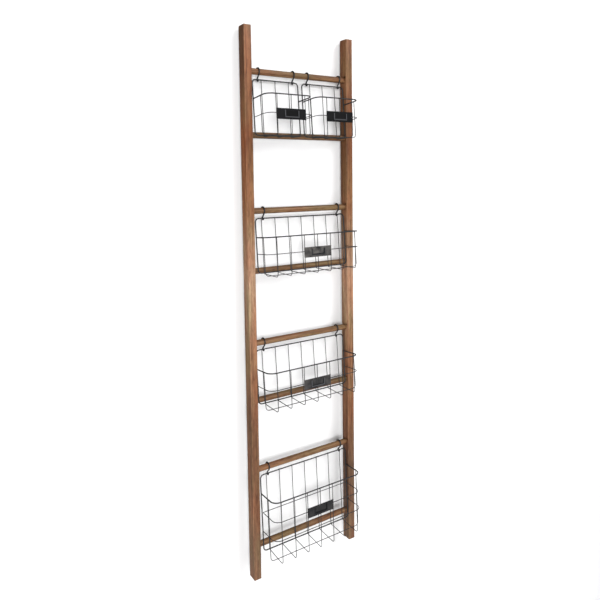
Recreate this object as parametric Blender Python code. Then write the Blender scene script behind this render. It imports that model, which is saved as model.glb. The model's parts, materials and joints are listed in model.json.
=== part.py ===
"""Ladder shelf: a wooden wall ladder with five wire baskets hung from its rungs.

Metres, +Z up, front of the shelf towards -Y. The origin is on the wall, halfway
between the two hanger plates that carry the ladder.
"""
from math import acos, atan2, cos, pi, sin

import bmesh
import bpy
from mathutils import Matrix, Vector

# ---- driving dimensions ----------------------------------------------------
LADDER_HEIGHT = 1.830
LADDER_WIDTH = 0.421
STILE_WIDTH = 0.026
STILE_DEPTH = 0.036
HANGER_DROP = 0.070          # hanger plates sit this far below the stile tops
RUNG_DIAMETER = 0.020
RUNG_SEAT = 0.013            # depth of the blind hole that takes a rung
RUNG_HEIGHTS = (1.690, 1.488, 1.244, 1.047, 0.807, 0.613, 0.375, 0.111)

GAP = 0.0003                 # clearance between parts that touch
FRAME_WIRE = 0.0020          # radius of a basket's back frame and rim
THIN_WIRE = 0.0012           # radius of a basket's ribs, bands and hoop
HOOK_WIRE = 0.00225
RIB_PITCH = 0.051
HANG_DROP = 0.025            # rung axis to basket frame's top wire
RIM_DROP = 0.062             # frame's top wire to the rim
RIM_DEPTH = 0.090
FLOOR_DEPTH = 0.088
FLOOR_SAG = 0.010            # front edge of the floor below the frame's bottom
HOOP_DEPTH = 0.056
FRAME_CORNER = 0.012
RIM_CORNER = 0.025
RIB_CORNER = 0.010
WIDE = 0.354
NARROW = 0.170
SHALLOW = 0.179
TALL = 0.259

LABEL_HEIGHT = 0.034
LABEL_SHEET = 0.0010
CARD_WIDTH = 0.052
CARD_HEIGHT = 0.022
CARD_LIP = 0.0022

# name, upper rung, lower rung, sideways place, width, height, ribs, bands, hooks
BASKETS = (
    ("basket_1_left", 0, 1, -0.0900, NARROW, SHALLOW, 3, (0.121,), 0.0650),
    ("basket_1_right", 0, 1, 0.0960, NARROW, SHALLOW, 3, (0.121,), 0.0650),
    ("basket_2", 2, 3, 0.0035, WIDE, SHALLOW, 7, (0.116,), 0.1485),
    ("basket_3", 4, 5, -0.0035, WIDE, SHALLOW, 7, (0.118,), 0.1485),
    ("basket_4", 6, 7, 0.0045, WIDE, TALL, 7, (0.128, 0.190), 0.1485),
)

BASE_Z = HANGER_DROP - LADDER_HEIGHT
RUNG_Y = -STILE_DEPTH / 2
STILE_X = (LADDER_WIDTH - STILE_WIDTH) / 2

for old in list(bpy.data.objects):
    bpy.data.objects.remove(old, do_unlink=True)

parts = bpy.data.collections.new("ladder_shelf")
cutters = bpy.data.collections.new("cutters")
bpy.context.scene.collection.children.link(parts)
bpy.context.scene.collection.children.link(cutters)


def material(name, colour, roughness, metallic):
    made = bpy.data.materials.new(name)
    made.use_nodes = True
    shader = made.node_tree.nodes["Principled BSDF"]
    shader.inputs["Base Color"].default_value = (*colour, 1.0)
    shader.inputs["Roughness"].default_value = roughness
    shader.inputs["Metallic"].default_value = metallic
    return made


STILE_WOOD = material("stile_wood", (0.29, 0.145, 0.075), 0.55, 0.0)
RUNG_WOOD = material("rung_wood", (0.25, 0.12, 0.06), 0.55, 0.0)
BASKET_WIRE = material("basket_wire", (0.022, 0.022, 0.024), 0.45, 0.3)
HOOK_STEEL = material("hook_steel", (0.018, 0.018, 0.019), 0.40, 0.4)
LABEL_STEEL = material("label_steel", (0.055, 0.052, 0.052), 0.42, 0.4)
HANGER_STEEL = material("hanger_steel", (0.55, 0.56, 0.58), 0.35, 1.0)
SCREW_STEEL = material("screw_steel", (0.45, 0.46, 0.48), 0.30, 1.0)


def add(name, mesh, finish, place=None, parent=None, collection=parts):
    """Put a mesh in the scene as a named part."""
    made = bpy.data.objects.new(name, mesh)
    if finish is not None:
        mesh.materials.clear()
        mesh.materials.append(finish)
    if parent is not None:
        made.parent = parent
    if place is not None:
        made.matrix_local = place
    collection.objects.link(made)
    if collection is cutters:
        made.hide_render = True
        made.display_type = "WIRE"
    return made


def boolean(target, tool, operation):
    step = target.modifiers.new(operation.lower() + "_" + tool.name, "BOOLEAN")
    step.operation = operation
    step.solver = "EXACT"
    step.object = tool


def block(name, size):
    """A box centred on its own origin."""
    mesh = bpy.data.meshes.new(name)
    shape = bmesh.new()
    bmesh.ops.create_cube(shape, size=1.0, matrix=Matrix.Diagonal((*size, 1.0)))
    shape.to_mesh(mesh)
    shape.free()
    return mesh


def rod(name, radius, length, sides, tip=None):
    """A round bar (or a cone, given its tip radius) centred on X."""
    mesh = bpy.data.meshes.new(name)
    shape = bmesh.new()
    bmesh.ops.create_cone(
        shape, cap_ends=True, segments=sides, radius1=radius,
        radius2=radius if tip is None else tip, depth=length,
        matrix=Matrix.Rotation(pi / 2, 4, "Y"))
    for face in shape.faces:
        face.smooth = len(face.verts) == 4
    shape.to_mesh(mesh)
    shape.free()
    return mesh


def rounded(corners, radii, steps, closed=False):
    """Points along straight runs, each corner but an open route's ends turned at its radius."""
    corners = [Vector(corner) for corner in corners]
    count = len(corners)
    route = []
    for index, corner in enumerate(corners):
        if not closed and index in (0, count - 1):
            route.append(corner)
            continue
        radius = radii[index if closed else index - 1]
        back = (corners[index - 1] - corner).normalized()
        ahead = (corners[(index + 1) % count] - corner).normalized()
        half = acos(max(-1.0, min(1.0, back.dot(ahead)))) / 2
        middle = corner + (back + ahead).normalized() * radius / sin(half)
        start = corner + back * radius * cos(half) / sin(half) - middle
        end = corner + ahead * radius * cos(half) / sin(half) - middle
        turn = start.angle(end)
        for step in range(steps + 1):
            share = step / steps
            arm = start * sin((1 - share) * turn) + end * sin(share * turn)
            route.append(middle + arm / sin(turn))
    return route


def wire(name, routes, radius, resolution=1, closed=False):
    """Round wire along one or more routes, as one mesh with closed ends."""
    curve = bpy.data.curves.new(name, "CURVE")
    curve.dimensions = "3D"
    curve.bevel_depth = radius
    curve.bevel_resolution = resolution
    curve.use_fill_caps = True
    for route in routes:
        spline = curve.splines.new("POLY")
        spline.points.add(len(route) - 1)
        for point, place in zip(spline.points, route):
            point.co = (*place, 1.0)
        spline.use_cyclic_u = closed
        spline.use_smooth = True
    drawn = bpy.data.objects.new(name, curve)
    bpy.context.scene.collection.objects.link(drawn)
    bpy.context.view_layer.update()
    graph = bpy.context.evaluated_depsgraph_get()
    mesh = bpy.data.meshes.new_from_object(drawn.evaluated_get(graph))
    bpy.data.objects.remove(drawn, do_unlink=True)
    bpy.data.curves.remove(curve)
    shape = bmesh.new()
    shape.from_mesh(mesh)
    bmesh.ops.remove_doubles(shape, verts=shape.verts, dist=0.00001)
    bmesh.ops.recalc_face_normals(shape, faces=shape.faces)
    shape.to_mesh(mesh)
    shape.free()
    mesh.name = name
    return mesh


# ---- ladder ----------------------------------------------------------------
# Two square-cut stiles, drilled on their inner sides for the eight round rungs.
stile_mesh = block("stile", (STILE_WIDTH, STILE_DEPTH, LADDER_HEIGHT))
for side, hand in (("left", -1), ("right", 1)):
    place = Matrix.Translation((hand * STILE_X, RUNG_Y, BASE_Z + LADDER_HEIGHT / 2))
    stile = add(side + "_stile", stile_mesh.copy(), STILE_WOOD, place)
    drill_mesh = bpy.data.meshes.new(side + "_drills")
    shape = bmesh.new()
    inner = hand * (STILE_X - STILE_WIDTH / 2)
    for height in RUNG_HEIGHTS:
        bmesh.ops.create_cone(
            shape, cap_ends=True, segments=20, radius1=RUNG_DIAMETER / 2 + GAP,
            radius2=RUNG_DIAMETER / 2 + GAP, depth=2 * (RUNG_SEAT + GAP),
            matrix=Matrix.Translation((inner, RUNG_Y, BASE_Z + height))
            @ Matrix.Rotation(pi / 2, 4, "Y"))
    shape.to_mesh(drill_mesh)
    shape.free()
    boolean(stile, add(side + "_drills", drill_mesh, None, None, None, cutters), "DIFFERENCE")

rung_length = LADDER_WIDTH - 2 * STILE_WIDTH + 2 * RUNG_SEAT
rung_mesh = rod("rung", RUNG_DIAMETER / 2, rung_length, 20)
for index, height in enumerate(RUNG_HEIGHTS):
    row = "upper" if index % 2 == 0 else "lower"
    add("{}_rung_{}".format(row, index // 2 + 1), rung_mesh, RUNG_WOOD,
        Matrix.Translation((0.0, RUNG_Y, BASE_Z + height)))

# Keyhole hanger plates let into the backs of the stiles, two screws in each.
PLATE = (0.016, 0.0016, 0.044)
PLATE_SCREW = 0.0016
SCREW_SPACING = 0.032
for side, hand in (("left", -1), ("right", 1)):
    stile = bpy.data.objects[side + "_stile"]
    x = hand * STILE_X
    pocket = add(
        side + "_hanger_pocket",
        block("pocket", (PLATE[0] + 2 * GAP, 2 * (PLATE[1] + GAP), PLATE[2] + 2 * GAP)),
        None, Matrix.Translation((x, 0.0, 0.0)), None, cutters)
    boolean(stile, pocket, "DIFFERENCE")
    shank_room = add(
        side + "_hanger_nail_room", block("nail_room", (0.010, 0.024, 0.016)),
        None, Matrix.Translation((x, 0.0, 0.0)), None, cutters)
    boolean(stile, shank_room, "DIFFERENCE")
    plate = add(side + "_hanger_plate", block("hanger_plate", PLATE), HANGER_STEEL,
                Matrix.Translation((x, -PLATE[1] / 2, 0.0)))
    slot = add(side + "_hanger_slot", block("slot", (0.004, 0.006, 0.010)), None,
               Matrix.Translation((x, 0.0, 0.002)), None, cutters)
    eye = add(side + "_hanger_eye", rod("eye", 0.0042, 0.006, 16), None,
              Matrix.Translation((x, 0.0, -0.003)) @ Matrix.Rotation(pi / 2, 4, "Z"),
              None, cutters)
    boolean(plate, slot, "DIFFERENCE")
    boolean(plate, eye, "DIFFERENCE")
    for level, lift in (("upper", 0.5), ("lower", -0.5)):
        z = lift * SCREW_SPACING
        turn = Matrix.Rotation(pi / 2, 4, "Z")
        hole = add(
            "{}_{}_screw_hole".format(side, level), rod("hole", PLATE_SCREW + GAP, 0.030, 12),
            None, Matrix.Translation((x, 0.0, z)) @ turn, None, cutters)
        boolean(plate, hole, "DIFFERENCE")
        boolean(stile, hole, "DIFFERENCE")
        add("{}_{}_hanger_screw".format(side, level),
            rod("hanger_screw", PLATE_SCREW, 0.0138, 12), SCREW_STEEL,
            Matrix.Translation((x, -0.0071, z)) @ turn)


# ---- hooks -----------------------------------------------------------------
def hook_route():
    """S-hook: over the rung, down its front, and back under the frame's wire."""
    over = RUNG_DIAMETER / 2 + GAP + HOOK_WIRE
    under = FRAME_WIRE + GAP + HOOK_WIRE
    lean = acos((over + under) / HANG_DROP)
    route = []
    first, last = -0.35, pi + pi / 2 - lean
    for step in range(13):
        angle = first + (last - first) * step / 12
        route.append(Vector((0.0, over * cos(angle), over * sin(angle))))
    first, last = pi / 2 - lean, -pi - 0.3
    for step in range(9):
        angle = first + (last - first) * step / 8
        route.append(Vector((0.0, under * cos(angle), -HANG_DROP + under * sin(angle))))
    return route


hook_mesh = wire("s_hook", [hook_route()], HOOK_WIRE, 2)


# ---- baskets ---------------------------------------------------------------
# Each basket is built hanging straight down from its top wire: +Z up the back
# frame, -Y out of the front, and its pivot empty then leans it on the lower rung.
BEHIND = FRAME_WIRE + THIN_WIRE + GAP


def basket(name, upper, lower, across, width, height, ribs, bands, hook_reach):
    top = BASE_Z + RUNG_HEIGHTS[upper]
    rung_axis = bpy.data.objects.new(name + "_hook_pivot", None)
    rung_axis.location = (across, RUNG_Y, top)
    parts.objects.link(rung_axis)
    for side, hand in (("left", -1), ("right", 1)):
        add("{}_{}_hook".format(name, side), hook_mesh, HOOK_STEEL,
            Matrix.Translation((hand * hook_reach, 0.0, 0.0)), rung_axis)

    # The ribs run down behind the frame, so they are what meets the lower rung.
    fall = RUNG_HEIGHTS[upper] - RUNG_HEIGHTS[lower] - HANG_DROP
    stand_off = RUNG_DIAMETER / 2 + GAP + THIN_WIRE + BEHIND
    lean = atan2(stand_off, fall)
    pivot = bpy.data.objects.new(name + "_pivot", None)
    pivot.parent = rung_axis
    pivot.matrix_local = Matrix.Translation((0.0, 0.0, -HANG_DROP)) @ Matrix.Rotation(
        -lean, 4, "X")
    parts.objects.link(pivot)

    half = width / 2
    frame = rounded([(-half, 0, 0), (half, 0, 0), (half, 0, -height), (-half, 0, -height)],
                    [FRAME_CORNER] * 4, 4, closed=True)
    add(name + "_back_frame", wire(name + "_back_frame", [frame], FRAME_WIRE, 2, True),
        BASKET_WIRE, None, pivot)

    def belt(level, depth, radius):
        """U of wire from one side of the frame round the front to the other."""
        start = -(FRAME_WIRE + GAP)
        return rounded([(-half, start, -level), (-half, -depth, -level),
                        (half, -depth, -level), (half, start, -level)], [radius] * 2, 5)

    rim = belt(RIM_DROP, RIM_DEPTH, RIM_CORNER)
    add(name + "_rim", wire(name + "_rim", [rim], FRAME_WIRE, 2), BASKET_WIRE, None, pivot)

    floor_front = height + FLOOR_SAG

    def front(level):
        """Depth of the front ribs' centre line at a level below the top wire."""
        share = (floor_front - level) / (floor_front - RIM_DROP)
        return FLOOR_DEPTH + (RIM_DEPTH + BEHIND - FLOOR_DEPTH) * share

    inset = 2 * THIN_WIRE + GAP
    if len(bands) > 1:
        # The tall basket's upper band runs on across the back as a closed ring.
        depth = front(bands[0]) - inset
        inner = half - FRAME_WIRE - THIN_WIRE - GAP
        ring = rounded([(-inner, 0.0, -bands[0]), (-inner, -depth, -bands[0]),
                        (inner, -depth, -bands[0]), (inner, 0.0, -bands[0])],
                       (FRAME_WIRE, RIM_CORNER, RIM_CORNER, FRAME_WIRE), 5, closed=True)
        add(name + "_upper_ring", wire(name + "_upper_ring", [ring], THIN_WIRE, 1, True),
            BASKET_WIRE, None, pivot)
        plain = bands[1:]
    else:
        plain = bands
    for level in plain:
        route = belt(level, front(level) - inset, RIM_CORNER)
        add(name + "_band", wire(name + "_band", [route], THIN_WIRE), BASKET_WIRE, None, pivot)

    routes = []
    for index in range(ribs):
        x = (index - (ribs - 1) / 2) * RIB_PITCH
        routes.append(rounded(
            [(x, BEHIND, FRAME_WIRE / 2), (x, BEHIND, -height - BEHIND),
             (x, -front(floor_front), -floor_front),
             (x, -front(RIM_DROP), -RIM_DROP + FRAME_WIRE / 2)], (BEHIND, RIB_CORNER), 4))
    grid = add(name + "_ribs", wire(name + "_ribs", routes, THIN_WIRE), BASKET_WIRE,
               None, pivot)
    share = HOOP_DEPTH / FLOOR_DEPTH
    floor_level = height + BEHIND + (FLOOR_SAG - BEHIND) * share
    side = half + BEHIND
    hoop_route = rounded(
        [(-side, -HOOP_DEPTH, -RIM_DROP + FRAME_WIRE / 2),
         (-side, -HOOP_DEPTH, -floor_level + 1.2 * THIN_WIRE),
         (side, -HOOP_DEPTH, -floor_level + 1.2 * THIN_WIRE),
         (side, -HOOP_DEPTH, -RIM_DROP + FRAME_WIRE / 2)], [FRAME_CORNER] * 2, 4)
    hoop = add(name + "_hoop", wire(name + "_hoop", [hoop_route], THIN_WIRE), BASKET_WIRE,
               None, pivot, cutters)
    boolean(grid, hoop, "UNION")

    # Label holder on the two ribs either side of the middle one: a steel plate
    # with a raised lip on three sides of the card.
    middle = bands[0] + 0.003
    slope = atan2(front(RIM_DROP) - front(floor_front), floor_front - RIM_DROP)
    stand = THIN_WIRE + GAP + LABEL_SHEET / 2
    seat = Matrix.Translation((0.0, -front(middle) - stand, -middle)) @ Matrix.Rotation(
        slope, 4, "X")
    label = add(name + "_label_holder",
                block(name + "_label_holder",
                      (2 * RIB_PITCH + 2 * THIN_WIRE, LABEL_SHEET, LABEL_HEIGHT)),
                LABEL_STEEL, seat, pivot)
    lips = (((CARD_WIDTH, CARD_LIP, CARD_LIP), (0.0, -CARD_HEIGHT / 2)),
            ((CARD_LIP, CARD_LIP, CARD_HEIGHT), (-CARD_WIDTH / 2, 0.0)),
            ((CARD_LIP, CARD_LIP, CARD_HEIGHT), (CARD_WIDTH / 2, 0.0)))
    for index, (size, (x, z)) in enumerate(lips):
        lip = add("{}_lip_{}".format(name, index + 1), block("lip", size), None,
                  seat @ Matrix.Translation((x, -CARD_LIP / 2, z)), pivot, cutters)
        boolean(label, lip, "UNION")


for row in BASKETS:
    basket(*row)
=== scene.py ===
import json
from math import acos, atan2, cos, pi, radians, sin, tan

import bmesh
import bpy
from mathutils import Matrix, Vector


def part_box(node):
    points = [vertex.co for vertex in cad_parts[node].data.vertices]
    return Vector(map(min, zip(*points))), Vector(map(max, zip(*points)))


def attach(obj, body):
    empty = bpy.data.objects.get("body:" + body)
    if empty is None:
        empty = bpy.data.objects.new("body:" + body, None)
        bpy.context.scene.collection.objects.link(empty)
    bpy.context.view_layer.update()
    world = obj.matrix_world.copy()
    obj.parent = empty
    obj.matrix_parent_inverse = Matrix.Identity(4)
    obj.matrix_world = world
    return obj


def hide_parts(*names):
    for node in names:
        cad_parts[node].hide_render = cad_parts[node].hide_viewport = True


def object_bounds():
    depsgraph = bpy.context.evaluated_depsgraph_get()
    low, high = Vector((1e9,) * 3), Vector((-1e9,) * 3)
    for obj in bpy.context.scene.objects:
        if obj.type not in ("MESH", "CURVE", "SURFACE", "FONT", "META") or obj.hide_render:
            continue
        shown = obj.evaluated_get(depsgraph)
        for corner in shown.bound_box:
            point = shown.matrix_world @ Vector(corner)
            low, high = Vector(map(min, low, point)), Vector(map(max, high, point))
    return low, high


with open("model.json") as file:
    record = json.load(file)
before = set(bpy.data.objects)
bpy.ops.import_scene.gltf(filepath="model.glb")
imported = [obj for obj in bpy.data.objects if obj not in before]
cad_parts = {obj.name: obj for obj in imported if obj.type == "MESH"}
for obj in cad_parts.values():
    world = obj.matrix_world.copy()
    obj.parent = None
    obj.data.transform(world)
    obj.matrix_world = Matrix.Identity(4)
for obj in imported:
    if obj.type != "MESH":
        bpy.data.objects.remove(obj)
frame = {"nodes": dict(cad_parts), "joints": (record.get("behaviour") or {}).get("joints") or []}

cad_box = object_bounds()

# ---- viewpoint -------------------------------------------------------------
# The eye stands left of the ladder at chest height, a little under two metres
# off, so the right stile is further away and the lower rungs run uphill.
EYE_PLACE = (-1.0055, -1.636, -0.412)
EYE_TURN = radians(-32.19)
EYE_DIP = radians(-4.47)
EYE_ROLL = radians(0.71)
eye = bpy.data.objects.new("eye", bpy.data.cameras.new("eye"))
bpy.context.scene.collection.objects.link(eye)
eye.matrix_world = (
    Matrix.Translation(EYE_PLACE)
    @ Matrix.Rotation(EYE_TURN, 4, "Z")
    @ Matrix.Rotation(EYE_DIP, 4, "X")
    @ Matrix.Rotation(EYE_ROLL, 4, "Y")
    @ Matrix.Rotation(pi / 2, 4, "X"))
eye.data.sensor_width = 36.0
eye.data.lens = 33.52
eye.data.shift_x = -0.0062
eye.data.shift_y = -0.13
eye.data.clip_start = 0.05
bpy.context.scene.camera = eye

# ---- stiles ----------------------------------------------------------------
# Two uprights of softwood, sawn square, planed and stained brown, with eased
# edges. Each has eight blind holes down its inner side that the rungs glue into.
STILE_EASE = 0.0012
HOLE_RADIUS = 0.0103
HOLE_DEPTH = 0.0133
HOLE_BREAK = 0.0004
SHARP_ANGLE = radians(40)
MERGE_WITHIN = 0.00001
ladder_rungs = [
    f"{row}_rung_{tier}" for tier in (1, 2, 3, 4) for row in ("upper", "lower")]


def put(tree, kind, inputs=None, **settings):
    """Adds a shader node. Each input is a plain value or another node's output."""
    made = tree.nodes.new("ShaderNode" + kind)
    for key, value in settings.items():
        setattr(made, key, value)
    for key, value in (inputs or {}).items():
        if isinstance(value, bpy.types.NodeSocket):
            tree.links.new(value, made.inputs[key])
        else:
            made.inputs[key].default_value = value
    return made


def effect(name, inputs, outputs):
    """Starts a node group that several finishes share, with named sockets."""
    group = bpy.data.node_groups.new(name, "ShaderNodeTree")
    for label, value in inputs.items():
        kind = "NodeSocketVector" if value is None else "NodeSocketFloat"
        socket = group.interface.new_socket(label, in_out="INPUT", socket_type=kind)
        if value is not None:
            socket.default_value = value
    for label in outputs:
        kind = "NodeSocketColor" if label == "Color" else "NodeSocketFloat"
        group.interface.new_socket(label, in_out="OUTPUT", socket_type=kind)
    given = group.nodes.new("NodeGroupInput").outputs
    return group, given, group.nodes.new("NodeGroupOutput")


def ramp(tree, factor, stops):
    """A colour ramp with a stop at each (place, colour)."""
    made = put(tree, "ValToRGB", {"Fac": factor})
    band = made.color_ramp
    while len(band.elements) < len(stops):
        band.elements.new(0.5)
    for element, (place, colour) in zip(band.elements, stops):
        element.position = place
        element.color = (*colour, 1.0)
    return made.outputs["Color"]


def blend_colour(tree, amount, first, second, way="MIX"):
    """Mixes two colours by an amount."""
    return put(tree, "Mix", {0: amount, 6: first, 7: second},
               data_type="RGBA", blend_type=way).outputs[2]


def sums(tree, way, *values, clamp=False):
    """One step of arithmetic on numbers."""
    return put(tree, "Math", dict(enumerate(values)), operation=way,
               use_clamp=clamp).outputs[0]


# How a stile's colour changes on the way up from the foot, as a share of its usual
# colour, and where each band lies. This is painted light and shade, in part uneven
# stain: the dark bands stand for shade, and the pale blue-grey band a little above
# the middle is a painted sheen of the varnish catching the light.
GREYED = (0.65, 0.72, 0.78)
DEEP_SHADE = (0.38, 0.36, 0.38)
DARK = (0.54, 0.50, 0.48)
BROWN = (0.77, 0.71, 0.64)
EVEN = (0.95, 1.00, 1.05)
PAINTED_SHEEN = (1.35, 1.70, 2.20)
RED = (0.52, 0.40, 0.30)
PATCH_HEIGHTS = (0.04, 0.16, 0.30, 0.42, 0.56, 0.68, 0.80, 0.93)
LIGHT_AND_STAIN_BANDS = {"left": (GREYED, DARK, DARK, EVEN, PAINTED_SHEEN, BROWN, RED, BROWN),
           "right": (GREYED, DEEP_SHADE, BROWN, EVEN, PAINTED_SHEEN, BROWN, RED, BROWN)}

# The left stile's outer side is painted paler or darker than its front at some
# heights: painted light and shade, for how the light falls on that side.
SAME, PALER, DULLER, DEEPEST = (1.0,) * 3, (1.35,) * 3, (0.7,) * 3, (0.45,) * 3
PAINTED_SIDE_LIGHT = ((0.04, SAME), (0.14, PALER), (0.26, SAME), (0.44, DULLER),
              (0.60, SAME), (0.82, PALER), (0.93, DEEPEST))

# Stained grain: its Vector runs along the board's length on Z, in metres.
grain, given, result = effect("stained_grain", {"Vector": None, "Tone": 0.0},
                              ("Color", "Roughness", "Height"))


def along(scale):
    """The board's own coordinates, drawn out along the grain."""
    return put(grain, "Mapping", {"Vector": given["Vector"], "Scale": scale}).outputs[0]


streak = put(grain, "TexNoise", {
    "Vector": along((1.0, 1.0, 0.035)), "Scale": 150.0, "Detail": 4.0,
    "Roughness": 0.55, "Distortion": 0.35}).outputs["Fac"]
growth = put(grain, "TexWave", {
    "Vector": along((1.0, 0.7, 0.045)), "Scale": 42.0, "Distortion": 6.0,
    "Detail": 2.0, "Detail Scale": 1.1, "Detail Roughness": 0.5},
    wave_type="BANDS", bands_direction="X").outputs["Fac"]
fibre = put(grain, "TexNoise", {
    "Vector": along((1.0, 1.0, 0.018)), "Scale": 1500.0, "Detail": 2.0,
    "Roughness": 0.6}).outputs["Fac"]
board = put(grain, "TexNoise", {
    "Vector": along((1.0, 1.0, 0.22)), "Scale": 26.0, "Detail": 2.0,
    "Roughness": 0.5}).outputs["Fac"]
fleck = put(grain, "TexNoise", {
    "Vector": along((1.0, 1.0, 0.22)), "Scale": 170.0, "Detail": 4.0,
    "Roughness": 0.65, "Distortion": 0.6}).outputs["Fac"]
stain = ramp(grain, streak, (
    (0.30, (0.175, 0.076, 0.036)), (0.44, (0.280, 0.130, 0.064)),
    (0.56, (0.350, 0.172, 0.086)), (0.72, (0.430, 0.235, 0.125))))
warm = ramp(grain, board, (
    (0.36, (1.00, 0.84, 0.76)), (0.50, (0.98, 0.97, 0.94)),
    (0.64, (0.88, 1.00, 0.90))))
stained = blend_colour(grain, 1.0, stain, warm, "MULTIPLY")
latewood = ramp(grain, growth, ((0.0, (0.80, 0.74, 0.70)), (0.45, (1.0, 1.0, 1.0))))
stained = blend_colour(grain, 0.55, stained, latewood, "MULTIPLY")
pores = ramp(grain, fibre, ((0.30, (0.42, 0.36, 0.33)), (0.44, (1.0, 1.0, 1.0))))
stained = blend_colour(grain, 0.75, stained, pores, "MULTIPLY")
figure = ramp(grain, fleck, (
    (0.36, (0.66, 0.60, 0.55)), (0.50, (1.0, 1.0, 1.0)), (0.66, (1.18, 1.20, 1.22))))
stained = blend_colour(grain, 0.8, stained, figure, "MULTIPLY")
shade = put(grain, "HueSaturation", {
    "Color": stained, "Value": sums(grain, "ADD", given["Tone"], 1.0)}).outputs[0]
grain.links.new(shade, result.inputs["Color"])
grain.links.new(
    sums(grain, "MULTIPLY_ADD", fibre, -0.22, 0.66), result.inputs["Roughness"])
grain.links.new(
    sums(grain, "MULTIPLY_ADD", growth, 0.30, sums(grain, "MULTIPLY", fibre, 0.8)),
    result.inputs["Height"])

# Rubbed edges: how near a point on a squared board is to its long edges.
rubbed, given, result = effect(
    "rubbed_edges",
    {"Vector": None, "Half Width": 0.01, "Half Depth": 0.01, "Reach": 0.003}, ("Mask",))
sides = put(rubbed, "SeparateXYZ", {"Vector": put(
    rubbed, "VectorMath", {0: given["Vector"]}, operation="ABSOLUTE").outputs[0]}).outputs
off_edge = sums(rubbed, "ADD",
                sums(rubbed, "SUBTRACT", given["Half Width"], sides["X"], clamp=True),
                sums(rubbed, "SUBTRACT", given["Half Depth"], sides["Y"], clamp=True))
patchy = put(rubbed, "TexNoise", {
    "Vector": given["Vector"], "Scale": 55.0, "Detail": 5.0,
    "Roughness": 0.65}).outputs["Fac"]
near = sums(
    rubbed, "SUBTRACT", 1.0, sums(rubbed, "DIVIDE", off_edge, given["Reach"]), clamp=True)
rubbed.links.new(
    sums(rubbed, "MULTIPLY", near, sums(
        rubbed, "MULTIPLY_ADD", patchy, 4.0, -1.5, clamp=True), clamp=True),
    result.inputs["Mask"])


def wood_look(name, centre, turn, tone, tint=(1.0, 1.0, 1.0, 1.0), bar=None, hand=None):
    """Stained wood with its grain along the length of one piece. A squared bar,
    given its half size, is rubbed at its edges and has bands of painted light and
    shade along it, in part uneven stain; the left bar's outer side has painted light
    and shade of its own."""
    look = bpy.data.materials.new(name)
    look.use_nodes = True
    tree = look.node_tree
    shader = tree.nodes["Principled BSDF"]
    own = put(tree, "Mapping", {
        "Vector": put(tree, "TexCoord").outputs["Object"], "Location": -centre})
    length_up = put(tree, "Mapping", {"Vector": own.outputs[0], "Rotation": turn})
    offset = put(tree, "Mapping", {
        "Vector": length_up.outputs[0], "Location": centre * 3.7})
    wood = put(tree, "Group", node_tree=grain)
    tree.links.new(offset.outputs[0], wood.inputs["Vector"])
    wood.inputs["Tone"].default_value = tone
    colour = blend_colour(tree, 1.0, wood.outputs["Color"], tint, "MULTIPLY")
    if bar:
        spot = put(tree, "SeparateXYZ", {"Vector": own.outputs[0]}).outputs
        height = put(tree, "MapRange", {
            "Value": spot["Z"], "From Min": -bar.z, "From Max": bar.z}).outputs[0]
        # Bands of painted light and shade up the stile, in part uneven stain, with a painted
        # sheen above the middle.
        light_and_stain_stops = tuple(zip(PATCH_HEIGHTS, LIGHT_AND_STAIN_BANDS[hand]))
        colour = blend_colour(tree, 1.0, colour, ramp(tree, height, light_and_stain_stops), "MULTIPLY")
        # Painted light and shade on the left stile's outer side, by height.
        if hand == "left":
            painted_side_mask = put(tree, "MapRange", {
                "Value": spot["X"], "From Min": STILE_EASE - bar.x,
                "From Max": STILE_EASE / 4 - bar.x}).outputs[0]
            colour = blend_colour(
                tree, painted_side_mask, colour, ramp(tree, height, PAINTED_SIDE_LIGHT), "MULTIPLY")
        worn = put(tree, "Group", node_tree=rubbed)
        tree.links.new(own.outputs[0], worn.inputs["Vector"])
        worn.inputs["Half Width"].default_value = bar.x
        worn.inputs["Half Depth"].default_value = bar.y
        colour = blend_colour(
            tree, sums(tree, "MULTIPLY", worn.outputs["Mask"], 0.25), colour,
            (0.50, 0.31, 0.18, 1.0))
    tree.links.new(colour, shader.inputs["Base Color"])
    tree.links.new(wood.outputs["Roughness"], shader.inputs["Roughness"])
    relief = put(tree, "Bump", {
        "Height": wood.outputs["Height"], "Strength": 0.55, "Distance": 0.0004})
    tree.links.new(relief.outputs[0], shader.inputs["Normal"])
    shader.inputs["Specular IOR Level"].default_value = 0.35
    return look


def settle(name, shape, look, body, slot, *nodes):
    """Makes a finished piece of a shape, on its body and in place of its CAD nodes."""
    bmesh.ops.remove_doubles(shape, verts=shape.verts, dist=MERGE_WITHIN)
    bmesh.ops.recalc_face_normals(shape, faces=shape.faces)
    mesh = bpy.data.meshes.new(name)
    shape.to_mesh(mesh)
    shape.free()
    mesh.materials.append(look)
    mesh.shade_smooth()
    mesh.set_sharp_from_angle(angle=SHARP_ANGLE)
    piece = bpy.data.objects.new(name, mesh)
    bpy.context.scene.collection.objects.link(piece)
    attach(piece, body)
    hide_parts(*nodes)


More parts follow.
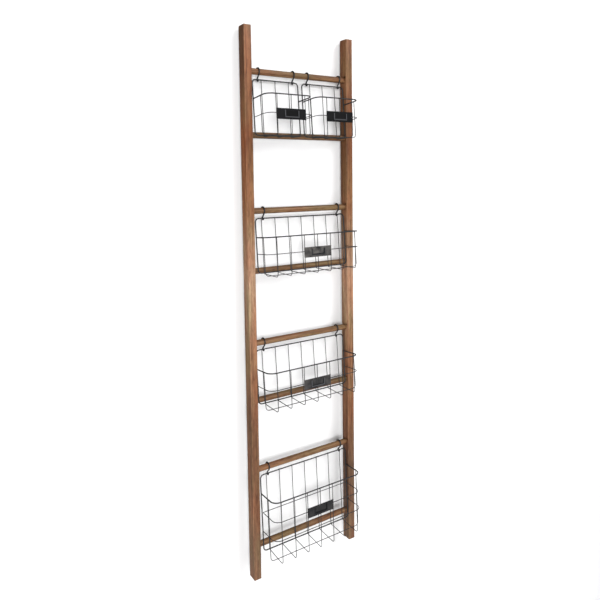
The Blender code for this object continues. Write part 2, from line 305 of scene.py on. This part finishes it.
def drill(shape, centre, inward, width):
    """A blind round hole in the flat side of a bar, its mouth very slightly broken."""
    room = width / 2
    for lift in (-room, room):
        bmesh.ops.bisect_plane(
            shape, geom=shape.verts[:] + shape.edges[:] + shape.faces[:],
            plane_co=centre + Vector((0, 0, lift)), plane_no=(0, 0, 1))
    side = [face for face in shape.faces if face.normal.x * inward < -0.99
            and abs(face.calc_center_median().z - centre.z) < room / 2]
    bmesh.ops.inset_region(shape, faces=side, thickness=room * 0.22, use_even_offset=True)
    loop = list(side[0].edges)
    bmesh.ops.delete(shape, geom=side, context="FACES_ONLY")
    cut = bmesh.ops.subdivide_edges(shape, edges=loop, cuts=5)["geom_inner"]
    corners = {vert for edge in loop for vert in edge.verts} | {
        g for g in cut if isinstance(g, bmesh.types.BMVert)}
    loop = [edge for edge in shape.edges if edge.is_boundary
            and all(vert in corners for vert in edge.verts)]
    mouth = bmesh.ops.create_circle(
        shape, cap_ends=False, segments=24, radius=HOLE_RADIUS + HOLE_BREAK,
        matrix=Matrix.Translation(centre) @ Matrix.Rotation(pi / 2, 4, "Y"))["verts"]
    ring = list({edge for vert in mouth for edge in vert.link_edges})
    bmesh.ops.bridge_loops(shape, edges=loop + ring)
    narrowed = HOLE_RADIUS / (HOLE_RADIUS + HOLE_BREAK)
    for step, size in ((HOLE_BREAK, narrowed), (HOLE_DEPTH, 1.0)):
        out = bmesh.ops.extrude_edge_only(shape, edges=ring)["geom"]
        verts = [g for g in out if isinstance(g, bmesh.types.BMVert)]
        ring = [g for g in out if isinstance(g, bmesh.types.BMEdge)
                and all(vert in verts for vert in g.verts)]
        bmesh.ops.translate(shape, verts=verts, vec=(inward * step, 0, 0))
        bmesh.ops.scale(shape, verts=verts, vec=(1, size, size),
                        space=Matrix.Translation(-centre))
    bmesh.ops.edgeloop_fill(shape, edges=ring)


for hand, tone in (("left", 0.02), ("right", -0.03)):
    low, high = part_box(hand + "_stile")
    size, centre = high - low, (low + high) / 2
    shape = bmesh.new()
    bmesh.ops.create_cube(shape, size=1.0, matrix=Matrix.Translation(centre)
                          @ Matrix.Diagonal((*size, 1.0)))
    bmesh.ops.bevel(shape, geom=shape.edges[:], offset=STILE_EASE, segments=3,
                    affect="EDGES", profile=0.5, material=-1)
    inward = -1 if hand == "left" else 1
    inner_side = high.x if hand == "left" else low.x
    for rung in ladder_rungs:
        rung_low, rung_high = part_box(rung)
        middle = (rung_low + rung_high) / 2
        drill(shape, Vector((inner_side, middle.y, middle.z)), inward,
              size.y - 2 * STILE_EASE)
    look = wood_look(hand + "_stile_stain", centre, (0, 0, 0), tone,
                     bar=size / 2, hand=hand)
    settle(hand + "_stile_bar", shape, look, "ladder", "stile_wood", hand + "_stile")

# ---- rungs -----------------------------------------------------------------
# Eight round dowels of the same wood and stain, their ends chamfered and glued
# into the holes. An upper rung carries a tier's hooks; its basket leans on the lower.
RUNG_CHAMFER = 0.0012
# Each rung's tone differs a little. The lower rung of the top tier is darkest, partly painted
# shade of the two baskets hanging in front of it.
RUNG_TONES_AND_SHADE = (-0.04, -0.22, -0.10, -0.08, -0.06, -0.14, 0.02, -0.02)
RUNG_TINT = (0.70, 0.78, 0.74, 1.0)

for rung, tone in zip(ladder_rungs, RUNG_TONES_AND_SHADE):
    low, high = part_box(rung)
    centre = (low + high) / 2
    shape = bmesh.new()
    bmesh.ops.create_cone(
        shape, cap_ends=True, segments=40, radius1=(high.z - low.z) / 2,
        radius2=(high.z - low.z) / 2, depth=high.x - low.x,
        matrix=Matrix.Translation(centre) @ Matrix.Rotation(pi / 2, 4, "Y"))
    ends = [edge for edge in shape.edges
            if any(len(face.verts) > 4 for face in edge.link_faces)]
    bmesh.ops.bevel(shape, geom=ends, offset=RUNG_CHAMFER, segments=2,
                    affect="EDGES", profile=0.5, material=-1)
    settle(rung + "_dowel", shape,
           wood_look(rung + "_stain", centre, (0, pi / 2, 0), tone, RUNG_TINT),
           "ladder", "rung_wood", rung)

# ---- hanger plates and screws ----------------------------------------------
# A zinc-plated keyhole plate is let into the back of each stile, held by two
# countersunk screws, and drops over a nail or screw head in the wall.
SLOT_STEEL = 0.0003
HEAD_RISE = 0.00015
plating, given, result = effect(
    "zinc_plating", {"Vector": None}, ("Color", "Roughness", "Height"))
spangle = put(plating, "TexVoronoi", {"Vector": given["Vector"], "Scale": 900.0},
              feature="F1").outputs["Color"]
clouds = put(plating, "TexNoise", {
    "Vector": given["Vector"], "Scale": 180.0, "Detail": 4.0,
    "Roughness": 0.6}).outputs["Fac"]
tint = ramp(plating, clouds, (
    (0.35, (0.46, 0.46, 0.47)), (0.50, (0.60, 0.61, 0.63)),
    (0.68, (0.72, 0.73, 0.75))))
plating.links.new(
    blend_colour(plating, 0.12, tint, spangle, "MULTIPLY"), result.inputs["Color"])
plating.links.new(
    sums(plating, "MULTIPLY_ADD", clouds, 0.35, 0.20), result.inputs["Roughness"])
plating.links.new(clouds, result.inputs["Height"])


def plated_look(name):
    """Bright zinc plate, a little clouded by handling."""
    look = bpy.data.materials.new(name)
    look.use_nodes = True
    tree = look.node_tree
    shader = tree.nodes["Principled BSDF"]
    zinc = put(tree, "Group", node_tree=plating)
    tree.links.new(put(tree, "TexCoord").outputs["Object"], zinc.inputs["Vector"])
    tree.links.new(zinc.outputs["Color"], shader.inputs["Base Color"])
    tree.links.new(zinc.outputs["Roughness"], shader.inputs["Roughness"])
    shader.inputs["Metallic"].default_value = 1.0
    relief = put(tree, "Bump", {
        "Height": zinc.outputs["Height"], "Strength": 0.3, "Distance": 0.0002})
    tree.links.new(relief.outputs[0], shader.inputs["Normal"])
    return look


plate_zinc = plated_look("hanger_plate_zinc")
screw_zinc = plated_look("hanger_screw_zinc")
for hand in ("left", "right"):
    plate = frame["nodes"][hand + "_hanger_plate"]
    plate.data.materials.clear()
    plate.data.materials.append(plate_zinc)
    for level in ("upper", "lower"):
        node = f"{hand}_{level}_hanger_screw"
        low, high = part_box(node)
        centre = (low + high) / 2
        radius = (high.x - low.x) / 2
        shape = bmesh.new()
        head = Matrix.Translation((centre.x, high.y, centre.z)) @ Matrix.Rotation(
            -pi / 2, 4, "X")
        bmesh.ops.create_cone(
            shape, cap_ends=True, segments=24, radius1=radius * 0.55, radius2=radius,
            depth=high.y - low.y,
            matrix=Matrix.Translation(centre) @ Matrix.Rotation(-pi / 2, 4, "X"))
        top = max(shape.faces, key=lambda face: face.calc_center_median().y)
        bmesh.ops.inset_region(shape, faces=[top], thickness=radius * 0.12)
        bmesh.ops.translate(shape, verts=top.verts, vec=(0, HEAD_RISE, 0))
        for arm in (0, pi / 2):
            bmesh.ops.create_cube(
                shape, size=1.0, matrix=head @ Matrix.Rotation(arm, 4, "Z")
                @ Matrix.Diagonal((radius * 1.2, radius * 0.3, SLOT_STEEL, 1.0)))
        settle(node + "_csk", shape, screw_zinc, "ladder", "screw_steel", node)

# ---- hooks -----------------------------------------------------------------
# Each basket hangs from two S-hooks bent of blackened steel rod: the wide bend
# goes over the rung and the tight one under the basket's top wire.
HOOK_ROD = 0.00225
HANG_DROP = 0.025
RUNG_BEND = 0.01255
WIRE_BEND = 0.00455
TIP_TURN = 0.35
LOWER_CURL = 0.3
HOOK_REACH = {"basket_1_left": 0.065, "basket_1_right": 0.065,
              "basket_2": 0.1485, "basket_3": 0.1485, "basket_4": 0.1485}
joint_at = {joint["name"]: Vector(joint["pos_m"]) for joint in frame["joints"]}


def ring_in(geometry):
    """The verts of a new ring of wire, and the edges round it."""
    verts = [g for g in geometry if isinstance(g, bmesh.types.BMVert)]
    return verts, [g for g in geometry if isinstance(g, bmesh.types.BMEdge)
                   and all(vert in verts for vert in g.verts)]


def start_wire(shape, place, heading, radius, sides):
    """The first ring of a wire, square to the way it heads."""
    verts = bmesh.ops.create_circle(
        shape, cap_ends=False, segments=sides, radius=radius,
        matrix=Matrix.Translation(place)
        @ heading.to_track_quat("Z", "Y").to_matrix().to_4x4())["verts"]
    return verts, list({edge for vert in verts for edge in vert.link_edges})


def feed(shape, ring, step):
    """Runs the wire straight on."""
    ring = ring_in(bmesh.ops.extrude_edge_only(shape, edges=ring[1])["geom"])
    bmesh.ops.translate(shape, verts=ring[0], vec=step)
    return ring


def bend(shape, ring, centre, axis, angle, steps):
    """Bends the wire round a centre."""
    return ring_in(bmesh.ops.spin(
        shape, geom=ring[0] + ring[1], cent=centre, axis=axis, dvec=(0, 0, 0),
        angle=angle, steps=steps, use_merge=False, use_duplicate=False)["geom_last"])


def end_wire(shape, ring, rounding):
    """Caps a cut end and takes its edge off."""
    face = bmesh.ops.edgeloop_fill(shape, edges=ring[1])["faces"][0]
    bmesh.ops.bevel(shape, geom=list(face.edges), offset=rounding, segments=3,
                    affect="EDGES", profile=0.5, material=-1)


# Coated steel: a fine pebbled skin, unevenly glossy, with a little dust on it.
coating, given, result = effect("coated_steel", {"Vector": None, "Dust": 0.15},
                                ("Color", "Roughness", "Height"))
pebble = put(coating, "TexNoise", {
    "Vector": given["Vector"], "Scale": 1400.0, "Detail": 2.0,
    "Roughness": 0.5}).outputs["Fac"]
sheen = put(coating, "TexNoise", {
    "Vector": given["Vector"], "Scale": 38.0, "Detail": 4.0,
    "Roughness": 0.6}).outputs["Fac"]
film = sums(coating, "MULTIPLY", sums(
    coating, "MULTIPLY_ADD", sheen, 3.0, -1.0, clamp=True), given["Dust"])
coating.links.new(
    blend_colour(coating, film, (0.020, 0.020, 0.022, 1.0), (0.16, 0.15, 0.14, 1.0)),
    result.inputs["Color"])
speckle = sums(coating, "MULTIPLY_ADD", pebble, 0.12, 0.22)
coating.links.new(
    sums(coating, "MULTIPLY_ADD", sheen, 0.30, speckle), result.inputs["Roughness"])
coating.links.new(pebble, result.inputs["Height"])


def coated_look(name, dust, metal, shine, lift=(1.0, 1.0, 1.0)):
    """Black-coated steel, its colour scaled by a lift. On the card holders the lift
    is painted light and shade: each plate made darker or lighter for how the light
    falls on it.
    """
    look = bpy.data.materials.new(name)
    look.use_nodes = True
    tree = look.node_tree
    shader = tree.nodes["Principled BSDF"]
    coat = put(tree, "Group", node_tree=coating)
    tree.links.new(put(tree, "TexCoord").outputs["Object"], coat.inputs["Vector"])
    coat.inputs["Dust"].default_value = dust
    colour = blend_colour(tree, 1.0, coat.outputs["Color"], (*lift, 1.0), "MULTIPLY")
    tree.links.new(colour, shader.inputs["Base Color"])
    tree.links.new(coat.outputs["Roughness"], shader.inputs["Roughness"])
    relief = put(tree, "Bump", {
        "Height": coat.outputs["Height"], "Strength": 0.35, "Distance": 0.0002})
    tree.links.new(relief.outputs[0], shader.inputs["Normal"])
    shader.inputs["Metallic"].default_value = metal
    shader.inputs["Specular IOR Level"].default_value = shine
    return look


hook_black = coated_look("hook_black", 0.06, 0.5, 0.5)
lean = acos((RUNG_BEND + WIRE_BEND) / HANG_DROP)
for basket, reach in HOOK_REACH.items():
    over = joint_at[basket + "_hook_swing"]
    hung = joint_at[basket + "_tip"]
    for hand, way in (("left", -1), ("right", 1)):
        top = over + Vector((way * reach, 0, 0))
        foot = hung + Vector((way * reach, 0, 0))
        shape = bmesh.new()
        start = top + Vector((0, cos(TIP_TURN), -sin(TIP_TURN))) * RUNG_BEND
        first = start_wire(
            shape, start, Vector((0, sin(TIP_TURN), cos(TIP_TURN))), HOOK_ROD, 16)
        ring = bend(shape, first, top, (1, 0, 0), TIP_TURN + 1.5 * pi - lean, 22)
        landing = foot + Vector((0, cos(pi / 2 - lean), sin(pi / 2 - lean))) * WIRE_BEND
        here = sum((vert.co for vert in ring[0]), Vector()) / len(ring[0])
        ring = feed(shape, ring, landing - here)
        ring = bend(shape, ring, foot, (1, 0, 0), -(1.5 * pi - lean + LOWER_CURL), 18)
        end_wire(shape, ring, HOOK_ROD * 0.6)
        end_wire(shape, first, HOOK_ROD * 0.6)
        settle(f"{basket}_{hand}_s_hook", shape, hook_black, basket + "_hooks",
               "hook_steel", f"{basket}_{hand}_hook")

# ---- baskets: wire ----------------------------------------------------------
# Every basket is one welded grid of black-coated steel wire. A closed hoop makes
# its back, a thicker rim runs out round the front, and thin ribs run down the
# back, along the floor and up the front, with one band or two across them.
FRAME_WIRE = 0.0020
THIN_WIRE = 0.0012
WELD_GAP = 0.0003
BEHIND = FRAME_WIRE + THIN_WIRE + WELD_GAP
RIB_PITCH = 0.051
RIM_DROP = 0.062
RIM_DEPTH = 0.090
FLOOR_DEPTH = 0.088
FLOOR_SAG = 0.010
HOOP_DEPTH = 0.056
FRAME_CORNER = 0.012
RIM_CORNER = 0.025
RIB_CORNER = 0.010
BASKETS = {  # width, height, ribs, levels of the bands, tier
    "basket_1_left": (0.170, 0.179, 3, (0.121,), 1),
    "basket_1_right": (0.170, 0.179, 3, (0.121,), 1),
    "basket_2": (0.354, 0.179, 7, (0.116,), 2),
    "basket_3": (0.354, 0.179, 7, (0.118,), 3),
    "basket_4": (0.354, 0.259, 7, (0.128, 0.190), 4),
}

# Weld beads: how far each spreads over its crossing, and how deep it stands.
RIM_BEAD = (FRAME_WIRE * 1.25, FRAME_WIRE * 0.9)
BAND_END_BEAD = (THIN_WIRE * 1.4, THIN_WIRE * 0.8)
RIB_BEAD = (THIN_WIRE * 1.5, THIN_WIRE * 0.9)
BAND_BEAD = (THIN_WIRE * 1.35, THIN_WIRE * 0.9)
FLOOR_BEAD = (THIN_WIRE * 1.3, THIN_WIRE * 1.3)
HOOP_END_BEAD = (THIN_WIRE * 1.1, THIN_WIRE * 1.6)
HOOP_BEAD = (THIN_WIRE * 1.2, THIN_WIRE * 1.2)


def seat(basket, tier):
    """Where a basket hangs: its top wire in the hooks, its back against the lower rung."""
    pivot = joint_at[basket + "_tip"]
    low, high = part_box(f"lower_rung_{tier}")
    stand_off = (high.z - low.z) / 2 + WELD_GAP + THIN_WIRE + BEHIND
    lean = atan2(stand_off, pivot.z - (low.z + high.z) / 2)
    return Matrix.Translation(pivot) @ Matrix.Rotation(-lean, 4, "X")


def run_wire(shape, corners, radii, thickness, closed=False, sides=12, steps=6):
    """Feeds a wire along straight runs and bends it at each corner."""
    corners = [Vector(corner) for corner in corners]
    if closed:
        begin = (corners[-1] + corners[0]) / 2
        corners = [begin] + corners + [begin]
    heading = (corners[1] - corners[0]).normalized()
    ring = first = start_wire(shape, corners[0], heading, thickness, sides)
    here = corners[0]
    for index in range(1, len(corners)):
        corner = corners[index]
        heading = (corner - corners[index - 1]).normalized()
        if index == len(corners) - 1:
            ring = feed(shape, ring, corner - here)
            break
        onward = (corners[index + 1] - corner).normalized()
        turn = heading.angle(onward)
        radius = radii[index - 1]
        stop = corner - heading * radius * tan(turn / 2)
        ring = feed(shape, ring, stop - here)
        axis = heading.cross(onward).normalized()
        centre = stop + axis.cross(heading) * radius
        ring = bend(shape, ring, centre, axis, turn, steps)
        here = corner + onward * radius * tan(turn / 2)
    if not closed:
        end_wire(shape, ring, thickness * 0.3)
        end_wire(shape, first, thickness * 0.3)


def weld(shape, place, bead):
    """A small squashed bead of metal where two wires cross."""
    spread, depth = bead
    bmesh.ops.create_icosphere(
        shape, subdivisions=2, radius=1.0,
        matrix=Matrix.Translation(place) @ Matrix.Diagonal((spread, depth, spread, 1.0)))


wire_black = coated_look("wire_black", 0.10, 0.3, 0.4)
for basket, (width, height, ribs, bands, tier) in BASKETS.items():
    hang = seat(basket, tier)
    half = width / 2
    floor_front = height + FLOOR_SAG

    def front(level):
        """How far out the front ribs stand at a level below the top wire."""
        share = (floor_front - level) / (floor_front - RIM_DROP)
        return FLOOR_DEPTH + (RIM_DEPTH + BEHIND - FLOOR_DEPTH) * share

    def belt(level, depth):
        """The corners of a U of wire, from the frame's one side round to the other."""
        start = -(FRAME_WIRE + WELD_GAP)
        return [(-half, start, -level), (-half, -depth, -level),
                (half, -depth, -level), (half, start, -level)]

    def fix(name, shape, *nodes):
        """Leans a finished run of wire into place on its basket."""
        bmesh.ops.transform(shape, matrix=hang, verts=shape.verts)
        settle(name, shape, wire_black, basket, "basket_wire", *nodes)

    # Back frame: one closed loop that the hooks carry by its top wire.
    shape = bmesh.new()
    run_wire(shape, [(half, 0, 0), (half, 0, -height), (-half, 0, -height), (-half, 0, 0)],
             [FRAME_CORNER] * 4, FRAME_WIRE, closed=True, sides=14)
    fix(basket + "_back_hoop", shape, basket + "_back_frame")

    # Rim: the lip of the basket, butt-welded to the sides of the back frame.
    shape = bmesh.new()
    run_wire(shape, belt(RIM_DROP, RIM_DEPTH), [RIM_CORNER] * 2, FRAME_WIRE,
             sides=14, steps=9)
    for way in (-1, 1):
        weld(shape, (way * half, -FRAME_WIRE, -RIM_DROP), RIM_BEAD)
    fix(basket + "_rim_lip", shape, basket + "_rim")

    # Bands: thin wires inside the ribs; the tall basket's upper one is a full ring.
    tuck = 2 * THIN_WIRE + WELD_GAP
    plain = bands
    if len(bands) > 1:
        plain = bands[1:]
        level, inner = bands[0], half - FRAME_WIRE - THIN_WIRE - WELD_GAP
        depth = front(level) - tuck
        shape = bmesh.new()
        run_wire(shape, [(inner, 0, -level), (inner, -depth, -level),
                         (-inner, -depth, -level), (-inner, 0, -level)],
                 (FRAME_WIRE, RIM_CORNER, RIM_CORNER, FRAME_WIRE), THIN_WIRE,
                 closed=True, sides=10)
        fix(basket + "_upper_round", shape, basket + "_upper_ring")
    shape = bmesh.new()
    for level in plain:
        run_wire(shape, belt(level, front(level) - tuck), [RIM_CORNER] * 2, THIN_WIRE,
                 sides=10, steps=8)
        for way in (-1, 1):
            weld(shape, (way * half, -FRAME_WIRE, -level), BAND_END_BEAD)
    fix(basket + "_cross_band", shape, basket + "_band")

    # Ribs and the hoop under them, with a weld at every crossing.
    shape = bmesh.new()
    hoop_level = height + BEHIND + (FLOOR_SAG - BEHIND) * HOOP_DEPTH / FLOOR_DEPTH
    for index in range(ribs):
        x = (index - (ribs - 1) / 2) * RIB_PITCH
        run_wire(shape, [
            (x, BEHIND, FRAME_WIRE / 2), (x, BEHIND, -height - BEHIND),
            (x, -front(floor_front), -floor_front),
            (x, -front(RIM_DROP), -RIM_DROP + FRAME_WIRE / 2)],
            (BEHIND, RIB_CORNER), THIN_WIRE, sides=10, steps=5)
        touch = FRAME_WIRE + WELD_GAP / 2
        for place in ((x, touch, 0), (x, touch, -height),
                      (x, -RIM_DEPTH - touch, -RIM_DROP)):
            weld(shape, place, RIB_BEAD)
        for level in bands:
            weld(shape, (x, -front(level) + THIN_WIRE, -level), BAND_BEAD)
        weld(shape, (x, -HOOP_DEPTH, -hoop_level), FLOOR_BEAD)
    side = half + BEHIND
    hoop_top = FRAME_WIRE / 2 - RIM_DROP
    hoop_foot = 1.2 * THIN_WIRE - hoop_level
    run_wire(shape, [
        (-side, -HOOP_DEPTH, hoop_top), (-side, -HOOP_DEPTH, hoop_foot),
        (side, -HOOP_DEPTH, hoop_foot), (side, -HOOP_DEPTH, hoop_top)],
        [FRAME_CORNER] * 2, THIN_WIRE, sides=10)
    for way in (-1, 1):
        weld(shape, (way * (half + FRAME_WIRE), -HOOP_DEPTH, -RIM_DROP), HOOP_END_BEAD)
        for level in plain:
            weld(shape, (way * (half + BEHIND / 2), -HOOP_DEPTH, -level), HOOP_BEAD)
    fix(basket + "_rib_grid", shape, basket + "_ribs")

# ---- label holders ---------------------------------------------------------
# On the front of each basket a small sheet-steel holder clasps two ribs with
# its rolled edges. Three folded tabs on its face keep a paper card.
LABEL_SHEET = 0.0010
LABEL_HEIGHT = 0.034
LABEL_DROP = 0.003
CARD_WIDTH = 0.052
CARD_HEIGHT = 0.022
TAB_STAND = 0.0011
TAB_FOLD = 0.0006
TAB_RETURN = 0.0026
TAB_SHEET = 0.0006
TAB_LINE = 0.0016
ROLL_ANGLE = radians(205)
# A plate's dust and colour lift are partly dust and partly painted light and shade, making each
# plate read lighter or darker for the light it catches. The rub on the tabs is partly a painted
# highlight.
HOLDERS = {  # dust on the plate, lift of its colour, black in the pocket, rub on the tabs
    "basket_1_left": (0.0, 0.45, 0.7, 0.75), "basket_1_right": (0.0, 0.40, 0.2, 0.85),
    "basket_2": (0.65, 1.0, 0.0, 0.35), "basket_3": (0.36, 1.0, 0.0, 0.9),
    "basket_4": (0.16, 0.9, 0.1, 0.15)}

# Rubbed and lit tabs: how far a point stands out of the plate, for the rub and
# painted highlight on the tabs, whether it lies in the pocket, and whether it lies
# in the painted shadow along and under a tab.
RAISED_STARTS = 0.0006
RAISED_FULL = 0.0014
pocket, given, result = effect(
    "rubbed_lit_and_shaded_tabs", {"Vector": None, "Face": 0.0, "Half Width": 0.02, "Half Height": 0.01,
                    "Tuck": 0.004}, ("Raised", "Inside", "Shade Under Tabs"))
spot = put(pocket, "SeparateXYZ", {"Vector": given["Vector"]}).outputs
pocket.links.new(put(pocket, "MapRange", {
    "Value": sums(pocket, "SUBTRACT", given["Face"], spot["Y"]),
    "From Min": RAISED_STARTS, "From Max": RAISED_FULL}).outputs[0], result.inputs["Raised"])
across = sums(pocket, "SUBTRACT", given["Half Width"], sums(pocket, "ABSOLUTE", spot["X"]))
upward = sums(pocket, "ADD", spot["Z"], given["Half Height"])
inside = sums(pocket, "MULTIPLY", sums(pocket, "GREATER_THAN", sums(
    pocket, "MINIMUM", across, upward), 0.0),
    sums(pocket, "LESS_THAN", spot["Z"], given["Half Height"]))
pocket.links.new(inside, result.inputs["Inside"])
pocket.links.new(sums(pocket, "MULTIPLY", inside, sums(
    pocket, "LESS_THAN", sums(pocket, "MINIMUM", across, upward), given["Tuck"])),
    result.inputs["Shade Under Tabs"])


def holder_look(name, basket, centre, lean, face):
    """The coating of a card holder: matt, darker in its pocket, with painted shadow
    along and under its tabs, and its raised tabs lightened, partly rubbed and
    partly a painted highlight.
    """
    dust, lift, black, rub_and_highlight = HOLDERS[basket]
    look = coated_look(name, dust, 0.0, 0.08, (lift, lift, lift))
    tree = look.node_tree
    shader = tree.nodes["Principled BSDF"]
    plain = shader.inputs["Base Color"].links[0].from_socket
    flat = put(tree, "Mapping", {
        "Vector": put(tree, "TexCoord").outputs["Object"], "Location": centre,
        "Rotation": (lean, 0, 0)}, vector_type="TEXTURE")
    card = put(tree, "Group", node_tree=pocket)
    tree.links.new(flat.outputs[0], card.inputs["Vector"])
    card.inputs["Face"].default_value = face
    card.inputs["Half Width"].default_value = CARD_WIDTH / 2
    card.inputs["Half Height"].default_value = CARD_HEIGHT / 2
    # How far the painted shadow reaches in from each tab.
    card.inputs["Tuck"].default_value = TAB_FOLD + TAB_RETURN + TAB_LINE
    pocket_and_tab_shade = blend_colour(tree, sums(tree, "MULTIPLY", card.outputs["Inside"], black),
                         plain, (0.003, 0.003, 0.003, 1.0))
    # Painted shadow: near black along and under the tabs, where their shade falls.
    pocket_and_tab_shade = blend_colour(tree, card.outputs["Shade Under Tabs"], pocket_and_tab_shade, (0.004, 0.004, 0.005, 1.0))
    # Raised tabs lightened: partly rubbed, partly a painted highlight where they catch the
    # light.
    worn = blend_colour(tree, sums(tree, "MULTIPLY", card.outputs["Raised"], rub_and_highlight),
                        pocket_and_tab_shade, (0.085, 0.086, 0.092, 1.0))
    tree.links.new(worn, shader.inputs["Base Color"])
    return look


def fold(shape, first, second, moves):
    """Draws a strip of sheet from an edge by straight runs and folds."""
    edge = shape.edges.new((shape.verts.new(first), shape.verts.new(second)))
    ring = list(edge.verts), [edge]
    for move in moves:
        if len(move) == 1:
            ring = feed(shape, ring, Vector(move[0]))
        else:
            offset, axis, angle, steps = move
            centre = ring[0][0].co + Vector(offset)
            ring = bend(shape, ring, centre, axis, angle, steps)


for basket, (_, height, _, bands, tier) in BASKETS.items():
    floor_front = height + FLOOR_SAG
    front_run = RIM_DEPTH + BEHIND - FLOOR_DEPTH
    middle = bands[0] + LABEL_DROP
    out = FLOOR_DEPTH + front_run * (floor_front - middle) / (floor_front - RIM_DROP)
    slope = atan2(front_run, floor_front - RIM_DROP)
    stand = THIN_WIRE + WELD_GAP + LABEL_SHEET / 2
    place = seat(basket, tier) @ Matrix.Translation(
        (0, -out, -middle)) @ Matrix.Rotation(slope, 4, "X")
    up = LABEL_HEIGHT / 2
    shape = bmesh.new()
    for way in (1, -1):
        fold(shape, (0, -stand, up), (0, -stand, -up), (
            ((way * RIB_PITCH, 0, 0),),
            ((0, stand, 0), (0, 0, 1), way * ROLL_ANGLE, 12)))
    bmesh.ops.remove_doubles(shape, verts=shape.verts, dist=MERGE_WITHIN)
    bmesh.ops.recalc_face_normals(shape, faces=shape.faces)
    bmesh.ops.solidify(shape, geom=shape.faces[:], thickness=LABEL_SHEET)

    # Tabs: left, right and bottom, each folded out of the sheet and back inward.
    face = -stand - LABEL_SHEET / 2
    wide, tall = CARD_WIDTH / 2, CARD_HEIGHT / 2
    butt = TAB_FOLD + TAB_RETURN + TAB_SHEET - tall
    for ends, inward, axis, angle in (
            (((-wide, face, butt), (-wide, face, tall)), (1, 0, 0), (0, 0, 1), pi / 2),
            (((wide, face, butt), (wide, face, tall)), (-1, 0, 0), (0, 0, 1), -pi / 2),
            (((-wide, face, -tall), (wide, face, -tall)), (0, 0, 1), (1, 0, 0), -pi / 2)):
        tab = bmesh.new()
        fold(tab, *ends, (
            ((0, -TAB_STAND, 0),),
            (tuple(TAB_FOLD * part for part in inward), axis, angle, 5),
            (tuple(TAB_RETURN * part for part in inward),)))
        bmesh.ops.recalc_face_normals(tab, faces=tab.faces)
        bmesh.ops.solidify(tab, geom=tab.faces[:], thickness=TAB_SHEET)
        spare = bpy.data.meshes.new("tab")
        tab.to_mesh(spare)
        tab.free()
        shape.from_mesh(spare)
        bpy.data.meshes.remove(spare)
    bmesh.ops.transform(shape, matrix=place, verts=shape.verts)
    look = holder_look(basket + "_charcoal", basket, place.to_translation(),
                       place.to_euler().x, face)
    settle(basket + "_card_plate", shape, look, basket, "label_steel",
           basket + "_label_holder")

# ---- room ------------------------------------------------------------------
# The ladder hangs before a white painted wall that stands a little way off it and
# further at the foot, above a pale floor. The wall is there only for someone in
# front of it, so the back of the ladder can be seen.
WALL_GAP = 0.009
WALL_LEAN = radians(0.65)
WALL_HALF = (4.0, 2.5)
FLOOR_BELOW = 1.14
FLOOR_HALF = 4.0
ladder_low, ladder_high = cad_box


def paint(name, colour, roughness, see_through):
    """Flat emulsion with the faint stipple of a roller."""
    look = bpy.data.materials.new(name)
    look.use_nodes = True
    tree = look.node_tree
    shader = tree.nodes["Principled BSDF"]
    stipple = put(tree, "TexNoise", {
        "Vector": put(tree, "TexCoord").outputs["Object"], "Scale": 260.0, "Detail": 2.0})
    shader.inputs["Base Color"].default_value = (*colour, 1.0)
    shader.inputs["Roughness"].default_value = roughness
    shader.inputs["Specular IOR Level"].default_value = 0.2
    relief = put(tree, "Bump", {
        "Height": stipple.outputs["Fac"], "Strength": 0.04, "Distance": 0.001})
    tree.links.new(relief.outputs[0], shader.inputs["Normal"])
    if see_through:
        clear = put(tree, "BsdfTransparent")
        facing = sums(
            tree, "SUBTRACT", 1.0, put(tree, "NewGeometry").outputs["Backfacing"])
        seen = sums(
            tree, "MULTIPLY", put(tree, "LightPath").outputs["Is Camera Ray"], facing)
        mixed = put(tree, "MixShader", {0: seen, 1: clear.outputs[0], 2: shader.outputs[0]})
        tree.links.new(mixed.outputs[0], tree.nodes["Material Output"].inputs["Surface"])
    return look


def backdrop(name, look, half, place):
    """One big flat side of the room."""
    shape = bmesh.new()
    bmesh.ops.create_grid(shape, x_segments=1, y_segments=1, size=1.0,
                          matrix=place @ Matrix.Diagonal((*half, 1.0, 1.0)))
    mesh = bpy.data.meshes.new(name)
    shape.to_mesh(mesh)
    shape.free()
    mesh.materials.append(look)
    part = bpy.data.objects.new(name, mesh)
    bpy.context.scene.collection.objects.link(part)


wall_foot = ladder_high.z - ladder_low.z + FLOOR_BELOW
backdrop("wall", paint("wall_paint", (0.93, 0.93, 0.935), 0.9, True), WALL_HALF,
         Matrix.Translation((0, ladder_high.y + WALL_GAP, ladder_high.z))
         @ Matrix.Rotation(pi / 2 + WALL_LEAN, 4, "X")
         @ Matrix.Translation((0, WALL_HALF[1] - wall_foot, 0)))
backdrop("floor", paint("floor_paint", (0.86, 0.86, 0.86), 0.8, False),
         (FLOOR_HALF, FLOOR_HALF),
         Matrix.Translation((0, 0, ladder_low.z - FLOOR_BELOW)))

# ---- light -----------------------------------------------------------------
# A big soft box stands high in front and to the right, and throws soft shadows to
# the left. A smaller one near the eye fills the front, a third lights the stiles'
# left sides, and white all round lifts the rest.
SURROUND = 0.19
LIGHTS = (  # name, place, aim, size, watts
    ("key_box", (4.6, -7.0, 5.6), (0.0, 0.0, -0.9), 5.2, 700.0),
    ("fill_box", (-2.6, -5.9, -0.5), (0.0, 0.0, -0.9), 2.2, 265.0),
    ("side_box", (-5.5, -1.5, -0.6), (0.0, 0.0, -0.9), 2.4, 115.0),
)
for name, place, aim, size, watts in LIGHTS:
    lamp = bpy.data.objects.new(name, bpy.data.lights.new(name, "AREA"))
    lamp.data.shape = "SQUARE"
    lamp.data.size = size
    lamp.data.energy = watts
    lamp.matrix_world = Matrix.Translation(place) @ (
        Vector(aim) - Vector(place)).to_track_quat("-Z", "Y").to_matrix().to_4x4()
    bpy.context.scene.collection.objects.link(lamp)

sky = bpy.data.worlds.new("white_surround")
sky.use_nodes = True
white = sky.node_tree.nodes["Background"].inputs
white["Color"].default_value = (1.0, 1.0, 1.0, 1.0)
white["Strength"].default_value = SURROUND
bpy.context.scene.world = sky
bpy.context.scene.view_settings.view_transform = "Standard"
